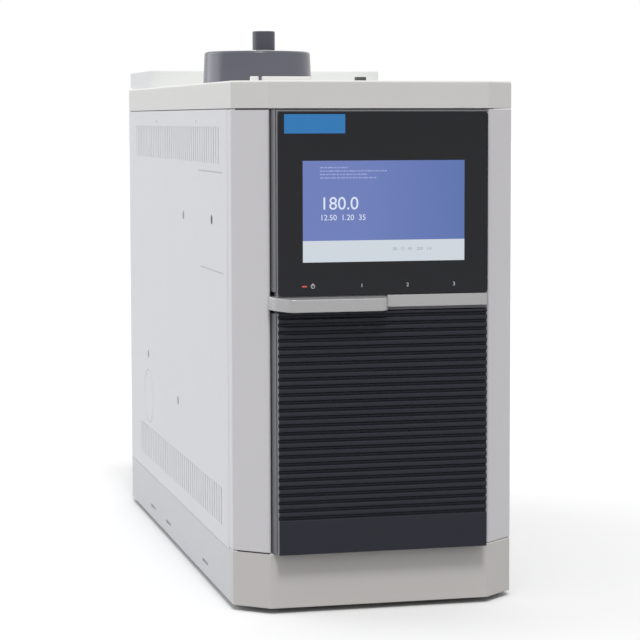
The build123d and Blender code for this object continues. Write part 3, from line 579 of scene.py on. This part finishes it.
# ---- door ----------------------------------------------------------------------------------------
def dress_door():
    """Rounded ribs, grey side walls painted lighter as a painted sheen, and on the inner side a lip
    seal, screws and a bare plate.
    """
    shell = soften("door_shell", 0.6 * MM, 3)
    paint_side_sheen(shell.data, SIDE_GREY)
    inner = DOOR_INNER_Y

    def seal(work):
        left, right, low, high = -95.0, 74.0, 62.0, 275.0
        notch_x, notch_z = -72.0, 254.0
        path = rounded_path([(left, inner, 160), (left, inner, low), (right, inner, low),
                             (right, inner, high), (notch_x, inner, high),
                             (notch_x, inner, notch_z), (left, inner, notch_z),
                             (left, inner, 160.2)], 3.0)
        tube(work, path, 1.3 * MM)
    add_built("door_seal", seal, "black_rubber", "front_door")
    screws("door_screws", [(x, inner, z) for x in (-84, -5, 66) for z in (78, 250)], (0, 1, 0),
           "front_door", 2.6)

    def bare_plate(work):
        box_into(work, at(-40, inner, 150), at(30, inner + 0.4, 205), 0.15 * MM)
    add_built("door_plate", bare_plate, "aluminium", "front_door")


# ---- column bay and bus --------------------------------------------------------------------------
def spiral(first, last, pitch, y):
    """Flat spiral of points round the column's middle, radii in mm."""
    steps = 72
    count = int((last - first) / pitch * steps)
    points = []
    for i in range(count + 1):
        angle = 2 * math.pi * i / steps
        radius = first + pitch * i / steps
        points.append(at(radius * math.cos(angle), y, COLUMN_Z + radius * math.sin(angle)))
    return points


def dress_column():
    """Flat coil of capillary in the dish, its two ends led up to the chips, hub ring and clips."""
    floor = COLUMN_FLOOR_Y
    lead_y = FRAME_Y - 25
    chip_y = FRAME_Y - 17

    def coil(work):
        pitch, radius, sides = 1.55, 0.7 * MM, 6
        tube(work, spiral(36.5, 72.0, pitch, floor - 0.8), radius, sides)
        tube(work, spiral(37.3, 71.0, pitch, floor - 2.1), radius, sides)
    add_built("column_coil", coil, "stainless", "chassis")

    def leads(work):
        for x in (-KNOB_X, 0.0):
            reach = x * 0.35
            path = rounded_path([(reach, floor - 1.5, COLUMN_Z + 70),
                                 (reach, lead_y, COLUMN_Z + 74), (reach, lead_y, 300),
                                 (x, chip_y, 314), (x, chip_y, 326),
                                 (x, BUS_FRONT_Y - 1, 330)], 3.0)
            tube(work, path, 0.8 * MM)
    add_built("column_leads", leads, "stainless", "chassis")

    def hub(work):
        centre = at(0, FRAME_Y - 22, COLUMN_Z)
        lathe(work, centre, (0, -1, 0),
              [(21, -4), (21, 0.4), (22, 1.2), (30, 1.2), (31, 0.4), (31, -0.2), (21, -0.2)], 64)
        ring_radius = 26
        for i in range(6):
            turn = math.radians(30 + 60 * i)
            screw(work, (ring_radius * math.cos(turn), FRAME_Y - 23.1,
                         COLUMN_Z + ring_radius * math.sin(turn)), (0, -1, 0), 2.0)
    add_built("column_hub", hub, "aluminium", "chassis")

    def clips(work):
        middle_radius = 55
        size = (39 * MM, 1.2 * MM, 4 * MM)
        for i in range(9):
            turn = math.radians(20 + 40 * i)
            matrix = (Matrix.Translation(at(0, FRAME_Y - 18.4, COLUMN_Z))
                      @ Matrix.Rotation(turn, 4, "Y")
                      @ Matrix.Translation(at(middle_radius, 0, 0))
                      @ Matrix.Diagonal((*size, 1.0)))
            verts = bmesh.ops.create_cube(work, size=1.0, matrix=matrix)["verts"]
            edges = {line for vert in verts for line in vert.link_edges}
            bmesh.ops.bevel(work, geom=list(edges), offset=0.4 * MM, segments=2, affect="EDGES")
    add_built("column_clips", clips, "black_plastic", "chassis")


def dress_bus():
    """Screws and port rings on the heated block, screws on the frame and the hinge arms' feet."""
    soften("bus_block", 0.5 * MM)
    soften("guard_chip", 0.5 * MM)
    soften("clamp_knob_left", 0.6 * MM, 3)
    soften("clamp_knob_right", 0.6 * MM, 3)
    screws("bus_screws", [(x, BUS_FRONT_Y, z) for x in (-60, -20, 20, 60) for z in (323, 347)],
           (0, -1, 0), "chassis", 2.2)

    def ports(work):
        for x in (-KNOB_X, 0.0, KNOB_X):
            for z in PORT_Z:
                lathe(work, at(x, BUS_FRONT_Y - 1.5, z), (0, -1, 0),
                      [(0, 0.2), (0.7, 0.2), (0.9, 0.9), (1.8, 0.9), (2.1, 0.6), (2.1, 0), (0, 0)],
                      24)
    add_built("chip_ports", ports, "brass", "chassis")
    screws("frame_screws", [(x, FRAME_Y, z) for x in (-97, 97) for z in (110, 225, 305, 410)]
           + [(x, FRAME_Y, 405) for x in (-55, 0, 55)], (0, -1, 0), "chassis", 2.6)
    feet = [(DOOR_HINGE_X + shift, HINGE_FOOT_Y, z) for shift in (-12.5, 7.5)
            for z in DOOR_ARM_Z]
    feet += [(side * DISPLAY_ARM_X + shift, HINGE_FOOT_Y, DISPLAY_ARM_Z)
             for side in (-1, 1) for shift in (-6.5, 6.5)]
    screws("hinge_screws", feet, (0, -1, 0), "chassis", 2.4)


def dress_bay():
    """Sloped grey edge trims that close the gap beside the door and the display."""
    outline = ((102.6, 9.0), (102.6, 0.8), (100.0, -5.6), (100.0, 9.0))
    runs = ((-1, 57.0, 279.0), (-1, 299.0, 465.0), (1, 299.0, 465.0))

    def trims(work):
        for side, low, high in runs:
            rings = [[work.verts.new(at(side * x, FRONT + y, z)) for x, y in outline]
                     for z in (low, high)]
            work.faces.new(rings[0])
            work.faces.new(rings[1][::-1])
            for i in range(4):
                j = (i + 1) % 4
                work.faces.new((rings[0][j], rings[0][i], rings[1][i], rings[1][j]))
    add_built("bay_trims", trims, "housing_grey", "chassis", finish=TRIM_GREY)


# ---- outside of the body -------------------------------------------------------------------------
def on_both_sides(work, out_at, in_at, along0, along1, low, high):
    """A box on the left and one on the right, out_at to in_at mm inside the body's sides."""
    for side in (-1, 1):
        x0, x1 = sorted((side * (HALF - out_at), side * (HALF - in_at)))
        box_into(work, at(x0, FRONT + along0, low), at(x1, FRONT + along1, high))


def dress_dimples():
    """Plugs in the left panel's dimples, darker strips in its seam lines as painted groove shade,
    and fillers in its corners and slots.
    """
    def plugs(places):
        def build(work):
            for along, z in places:
                lathe(work, at(-HALF, FRONT + along, z), (-1, 0, 0),
                      [(0, 0.35), (2.6, 0.3), (4.4, 0.0), (4.9, -0.3), (4.4, -0.79), (0, -0.79)],
                      32)
        return build
    add_built("panel_plug_front", plugs([(124.0, 360.0)]), "black_plastic", "chassis")
    add_built("panel_plugs", plugs([(281.5, 358.0), (322.0, 161.0), (520.0, 190.0)]),
              "black_plastic", "chassis", finish=SIDE_GREY)

    def corners(work):
        on_both_sides(work, 0.35, 1.4, 35.5, 45, 52.5, 58.5)
    # corner fillers in the skirt's grey, painted darker as shade near the floor
    add_built("corner_fillers", corners, "housing_grey", "chassis", finish=SKIRT_SHADE_GREY)

    # darker grey strips in the two grooves: painted shade of the grooves
    def groove_shade(work):
        for y0, y1, z in ((70.3, 189.7, 406.0), (66.3, 183.7, 311.5)):
            box_into(work, at(-HALF + 0.3, FRONT + y0, z - 0.55),
                     at(-HALF + 0.75, FRONT + y1, z + 0.55))
    add_built("groove_shade_strips", groove_shade, "housing_grey", "chassis", finish=GROOVE_SHADE_GREY)

    def slots(work):
        half_length = 14.9
        for along in (170.0, 389.0, 493.0):
            on_both_sides(work, 0.7, 1.2, along - half_length, along + half_length, 16.3, 19.7)
    add_built("slot_liners", slots, "housing_grey", "chassis", finish=SIDE_GREY)


def strip_into(work, start, end, low, high, proud, deep):
    """Upright strip along start to end (x, y in mm), facing the right of that way.

    It stands proud mm out of the line and reaches deep mm behind it.
    """
    run = (Vector(end) - Vector(start)).normalized()
    out = Vector((run.y, -run.x))
    corners = [Vector(start) + out * proud, Vector(end) + out * proud,
               Vector(end) - out * deep, Vector(start) - out * deep]
    rings = [[work.verts.new(at(p.x, p.y, z)) for p in corners] for z in (low, high)]
    work.faces.new(rings[0][::-1])
    work.faces.new(rings[1])
    for i in range(4):
        j = (i + 1) % 4
        work.faces.new((rings[0][i], rings[0][j], rings[1][j], rings[1][i]))


def dress_seams():
    """Black strips in the seams over and under the left pillar and along the left side, painted
    shadow for these gaps, and the lid's pale sealing lip.
    """
    nose, flat = (-HALF + 30.5, FRONT), (-HALF, FRONT + 26.2)

    # black strips in the seams: painted shadow for the dark gaps between cover, pillar and base
    def seam_shade(work):
        first = (nose[0] * 0.12 + flat[0] * 0.88, nose[1] * 0.12 + flat[1] * 0.88)
        last = (nose[0] - 1.2, nose[1] + 1.03)
        proud, deep = 0.12, 1.2
        strip_into(work, first, last, 464.7, 466.1, proud, deep)
        strip_into(work, first, last, 56.3, 57.3, proud, deep)
        strip_into(work, (-HALF, BACK - 60), (-HALF, FRONT + 30), 465.25, 465.75, 0.0, deep)
    add_built("cover_seam_shade", seam_shade, "black_rubber", "chassis")

    def lip(work):
        half, front, back = 132.7, FRONT + 508.3, BACK - 26.0
        deep = 1.4
        for start, end in (((-half, back), (-half, front)),
                           ((-half + deep, front), (half - deep, front)),
                           ((half, front), (half, back))):
            strip_into(work, start, end, 491.45, 492.45, 0.0, deep)
    add_built("lid_lip", lip, "lid_white", BODY["detector_cover"])


def dress_body():
    """Rounded mouldings and sheet edges, then the small pieces on the body's outside."""
    soften("top_cover", 0.6 * MM)
    for node in ("front_pillar_left", "front_pillar_right"):
        soften(node, 0.6 * MM, finish=PILLAR_GREY)
    # base front and base pan take greys painted darker: painted shade near the floor
    soften("base_front", 0.8 * MM, finish=BASE_SHADE_GREY)
    soften("base_pan", 0.45 * MM, finish=SKIRT_SHADE_GREY)
    soften("inlet_shroud", 0.5 * MM)
    soften("septum_nut", 0.4 * MM)
    soften("top_guide_strip", 1.0 * MM, 3)
    soften("top_stop", 0.6 * MM, finish=STOP_GREY)
    soften("feet", 0.8 * MM)
    soften("lid_brackets", 0.4 * MM)

    dress_dimples()
    dress_seams()
    for side, name in ((-1, "left"), (1, "right")):
        screws("panel_screws_" + name, [(side * (HALF - 0.9), FRONT + along, 454.0)
                                        for along in (205.0, 449.0)], (side, 0, 0), "chassis", 1.9)


# ---- rear panel ----------------------------------------------------------------------------------
def dress_fittings():
    """Brass bulkhead fittings: nut, threaded port, and the nut and stem behind the panel."""
    def fittings(work):
        thread = []
        for i in range(7):
            thread += [(3.5, 5.6 + 0.85 * i), (4.0, 6.0 + 0.85 * i)]
        turned = (
            ([(0, 0), (5.9, 0), (6.4, 0.5), (6.4, 4.5), (5.7, 5), (0, 5)], 6),
            ([(3.6, 4.9)] + thread + [(3.4, 11.5), (3.0, 12), (1.6, 12), (1.4, 8), (0, 8)], 32),
            ([(0, -12), (2.6, -12), (3.6, -11), (3.6, -7.5), (0, -7.5)], 24),
            ([(0, -7.6), (4.2, -7.6), (4.6, -7.1), (4.6, -2.4), (4.2, -2), (0, -2)], 6),
            ([(0, -2.4), (3.9, -2.4), (3.9, 0.2), (0, 0.2)], 24))
        for x in GAS_X:
            for profile, count in turned:
                lathe(work, at(x, BACK, GAS_Z), (0, 1, 0), profile, count)
    add_built("brass_fittings", fittings, "brass", "chassis", replaces="gas_fittings")


def dress_network():
    """Eight contacts in each network socket and two lamps above it."""
    def contacts(work):
        for x in NETWORK_X:
            for i in range(8):
                across = x - 3.5 + i
                path = rounded_path([(across, BACK - 12.5, 53.9), (across, BACK - 9, 53.6),
                                     (across, BACK - 4, 50.6), (across, BACK - 2.6, 51.8)], 0.8, 3)
                tube(work, path, 0.22 * MM, 6)
    add_built("network_contacts", contacts, "brass", "chassis")

    def lamps(work):
        for x in NETWORK_X:
            for side in (-1, 1):
                middle = x + side * 4.6
                box_into(work, at(middle - 1.5, BACK + 0.4, 55.2),
                         at(middle + 1.5, BACK + 0.85, 56.8), 0.2 * MM)
    add_piece("network_lamps", mesh_from(lamps), LED_GREEN, "chassis")


def dress_rocker():
    """Plain 1 and 0 on the mains rocker, on its face as it tilts at rest."""
    pivot = at(0, ROCKER_PIVOT_Y, ROCKER_PIVOT_Z)
    tilt = (Matrix.Translation(pivot) @ Matrix.Rotation(math.radians(ROCKER_TILT), 4, "X")
            @ Matrix.Translation(-pivot))
    face = BACK - 0.5
    thick, half_stroke = 0.12, 0.35

    def marks(work):
        box_into(work, at(ROCKER_X - half_stroke, face, 53.2),
                 at(ROCKER_X + half_stroke, face + thick, 57.8))
        lathe(work, at(ROCKER_X, face, 44.6), (0, 1, 0),
              [(1.9, 0), (1.9, thick), (2.5, thick), (2.5, 0), (1.9, 0)], 32)
        bmesh.ops.transform(work, matrix=tilt, verts=work.verts)
    add_piece("rocker_marks", mesh_from(marks, False), MARK_WHITE, "switch_rocker")


def dress_rear():
    """Screws, brass fittings, mains blades, switch marks, network contacts and a bare plate."""
    places = [(x, BACK, z) for x in (-127, 127) for z in (16, 120, 224, 328, 455)]
    places += [(x, BACK, 455) for x in (-64, 0, 64)]
    places += [(x, BACK, 50) for x in (-123.5, -51.5)]
    places += [(side * FAN_X + dx, BACK, FAN_Z + dz) for side in (-1, 1)
               for dx in (-FAN_SCREW, FAN_SCREW) for dz in (-FAN_SCREW, FAN_SCREW)]
    screws("rear_screws", places, (0, 1, 0), "chassis", 2.8)
    dress_fittings()
    soften("power_inlet", 0.5 * MM)

    def blades(work):
        for x, z in MAINS_BLADES:
            box_into(work, at(x - 1.1, BACK - 16.9, z - 2.1), at(x + 1.1, BACK - 7.8, z + 2.1),
                     0.4 * MM)
    add_built("mains_blades", blades, "zinc_steel", "chassis")
    dress_rocker()
    dress_network()

    def bare_plate(work):
        box_into(work, at(20, BACK, 90), at(90, BACK + 0.4, 126), 0.15 * MM)
    add_built("rear_plate", bare_plate, "aluminium", "chassis")


# ---- works under the lid and inside --------------------------------------------------------------
def dress_detector():
    """Detector under the lid: base screws, knurled collar, stepped stack and signal terminal."""
    soften("fid_body", 0.5 * MM)
    screws("detector_screws",
           [(FID_X + dx, FID_Y + dy, 452) for dx in (-18, 18) for dy in (-18, 18)],
           (0, 0, 1), "chassis", 2.4)
    screws("shelf_screws",
           [(x, y, SHELF_TOP) for x in (-116, 116) for y in (BACK - 130, BACK - 60)],
           (0, 0, 1), "chassis", 2.6)

    def stack(work):
        centre = at(FID_X, FID_Y, 484)
        lathe(work, centre, (0, 0, 1),
              [(0, 0.02), (12.6, 0.02), (13.2, 0.8), (13.2, 8.2), (12.6, 9), (0, 9)],
              96, lobes=32, swing=0.02, lobed=(2, 3))
        lathe(work, centre, (0, 0, 1),
              [(0, 9), (10.6, 9), (11, 9.4), (11, 13.4), (10.4, 14), (6.4, 14), (6.2, 14.6),
               (6.2, 21.4), (5.6, 22), (1.6, 22), (1.4, 16), (0, 16)], 48)
    add_built("collector_stack", stack, "stainless", "chassis", replaces="fid_collector")

    def terminal(work):
        lathe(work, at(FID_X + 15, FID_Y, 470), (1, 0, 0),
              [(0, -0.5), (4.2, -0.5), (4.2, 2), (3.4, 2.4), (3.4, 7), (2.6, 8), (2.6, 16),
               (1.2, 16.5), (0, 16.5)], 24)
    add_built("signal_terminal", terminal, "brass", "chassis")


def chips_into(work, area, y, outward, tries, seed):
    """Scatter chips, and capacitors on small feet, over a board; area is x0, x1, z0, z1 in mm."""
    random.seed(seed)
    x0, x1, z0, z1 = area
    sizes = ((14, 14, 1.8), (8, 5, 1.4), (5, 8, 1.4), (10, 7, 2.4), (4, 4, 1))
    foot_width = 4
    gap = 1
    taken = []
    for _ in range(tries):
        wide, tall, high = random.choice(sizes)
        x, z = random.uniform(x0, x1 - wide), random.uniform(z0, z1 - tall)
        middle_x, middle_z = x + wide / 2, z + tall / 2
        if any(abs(middle_x - other_x) < (wide + other_wide) / 2 + gap
               and abs(middle_z - other_z) < (tall + other_tall) / 2 + gap
               for other_x, other_z, other_wide, other_tall in taken):
            continue
        taken.append((middle_x, middle_z, wide, tall))
        near, far = sorted((y, y + outward * high))
        box_into(work, at(x, near, z), at(x + wide, far, z + tall), 0.2 * MM)
        if wide == foot_width:
            lathe(work, at(x + 2, y, z + 2), (0, outward, 0),
                  [(0, 0), (3.4, 0), (3.4, 8), (3, 8.5), (0, 8.5)], 24)


def dress_inside():
    """Components on the two boards, screws on the pneumatic modules and the power supply."""
    add_built("main_chips",
              lambda work: chips_into(work, (8, 112, 235, 430), MAIN_BOARD_Y, -1, 40, 3),
              "black_plastic", "chassis")
    add_built("display_chips",
              lambda work: chips_into(work, (-80, 80, 345, 436), DISPLAY_BOARD_Y, 1, 24, 5),
              "black_plastic", "display_unit")
    screws("module_screws", [(x, MODULE_Y + dy, MODULE_TOP) for x in GAS_X for dy in (8, 38)],
           (0, 0, 1), "chassis", 1.8)
    screws("supply_screws",
           [(x, y, SUPPLY_TOP) for x in (11, 111) for y in (FRONT + 360, FRONT + 480)],
           (0, 0, 1), "chassis", 2.2)


# ---- studio --------------------------------------------------------------------------------------
def add_camera():
    """Camera solved from the body's corners: long lens, a little to the left and above."""
    yaw, tilt, roll = (math.radians(angle) for angle in (CAMERA_YAW, CAMERA_TILT, CAMERA_ROLL))
    look = Vector((math.sin(yaw) * math.cos(tilt), math.cos(yaw) * math.cos(tilt), -math.sin(tilt)))
    right = Vector((math.cos(yaw), -math.sin(yaw), 0))
    up = right.cross(look)
    right, up = (math.cos(roll) * right + math.sin(roll) * up,
                 math.cos(roll) * up - math.sin(roll) * right)
    data = bpy.data.cameras.new("camera")
    data.sensor_width = 36
    data.lens = CAMERA_LENS
    data.shift_x, data.shift_y = CAMERA_SHIFT
    data.clip_end = 50
    camera = bpy.data.objects.new("camera", data)
    bpy.context.scene.collection.objects.link(camera)
    turn = Matrix((right, up, -look)).transposed().to_4x4()
    camera.matrix_world = Matrix.Translation(CAMERA_PLACE) @ turn
    bpy.context.scene.camera = camera


def add_sun(name, towards, strength, spread, colour=(1, 1, 1)):
    """Distant soft lamp shining from the direction towards."""
    data = bpy.data.lights.new(name, "SUN")
    data.energy = strength * math.pi
    data.angle = math.radians(spread)
    data.color = colour
    lamp = bpy.data.objects.new(name, data)
    bpy.context.scene.collection.objects.link(lamp)
    lamp.rotation_euler = Vector(towards).to_track_quat("Z", "Y").to_euler()


def seen_by_eye(tree):
    """1 for rays that show the background directly, mirrored or through glass, else 0."""
    paths = tree.nodes.new("ShaderNodeLightPath")
    total = None
    for ray in ("Is Camera Ray", "Is Glossy Ray", "Is Transmission Ray"):
        step = tree.nodes.new("ShaderNodeMath")
        step.operation = "MAXIMUM"
        step.inputs[1].default_value = 0.0
        link(tree, paths, ray, step, 0)
        if total:
            link(tree, total, "Value", step, 1)
        total = step
    return total


def add_world():
    """Soft even light; rays that see the background directly or mirrored see white."""
    world = bpy.data.worlds.new("studio")
    bpy.context.scene.world = world
    world.use_nodes = True
    tree = world.node_tree
    back = tree.nodes["Background"]
    back.inputs["Color"].default_value = (1, 1, 1, 1)
    level = tree.nodes.new("ShaderNodeMapRange")
    level.inputs["To Min"].default_value = WORLD_LEVEL
    level.inputs["To Max"].default_value = 1.0
    link(tree, seen_by_eye(tree), "Value", level, "Value")
    link(tree, level, "Result", back, "Strength")


def add_floor():
    """Wide pale floor: it looks nearly white, and throws little light back at the object."""
    mesh = bpy.data.meshes.new("floor")
    corners = [(x * FLOOR_REACH, y * FLOOR_REACH, 0)
               for x, y in ((-1, -1), (1, -1), (1, 1), (-1, 1))]
    mesh.from_pydata(corners, [], [(0, 1, 2, 3)])
    floor = bpy.data.objects.new("floor", mesh)
    bpy.context.scene.collection.objects.link(floor)
    made = bpy.data.materials.new("floor_pale")
    made.use_nodes = True
    tree = made.node_tree
    shader = tree.nodes["Principled BSDF"]
    shader.inputs["Roughness"].default_value = 1.0
    shader.inputs["Specular IOR Level"].default_value = 0.0
    mix = tree.nodes.new("ShaderNodeMix")
    mix.data_type = "RGBA"
    mix.inputs["A"].default_value = (*[FLOOR_BOUNCE] * 3, 1)
    mix.inputs["B"].default_value = (*[FLOOR_SEEN] * 3, 1)
    link(tree, seen_by_eye(tree), "Value", mix, "Factor")
    link(tree, mix, "Result", shader, "Base Color")
    mesh.materials.append(made)


def add_studio():
    """Camera, white surroundings, a soft lamp from the left and one from above, and the floor."""
    add_camera()
    add_world()
    add_sun("left", LEFT_TOWARDS, LEFT_LEVEL, LEFT_SPREAD, LEFT_TINT)
    add_sun("top", TOP_TOWARDS, TOP_LEVEL, TOP_SPREAD)
    add_floor()
    bpy.context.scene.view_settings.view_transform = "Standard"


# ---- assembly ------------------------------------------------------------------------------------
add_studio()
dress_display()
dress_door()
dress_bay()
dress_column()
dress_bus()
dress_body()
dress_rear()
dress_detector()
dress_inside()
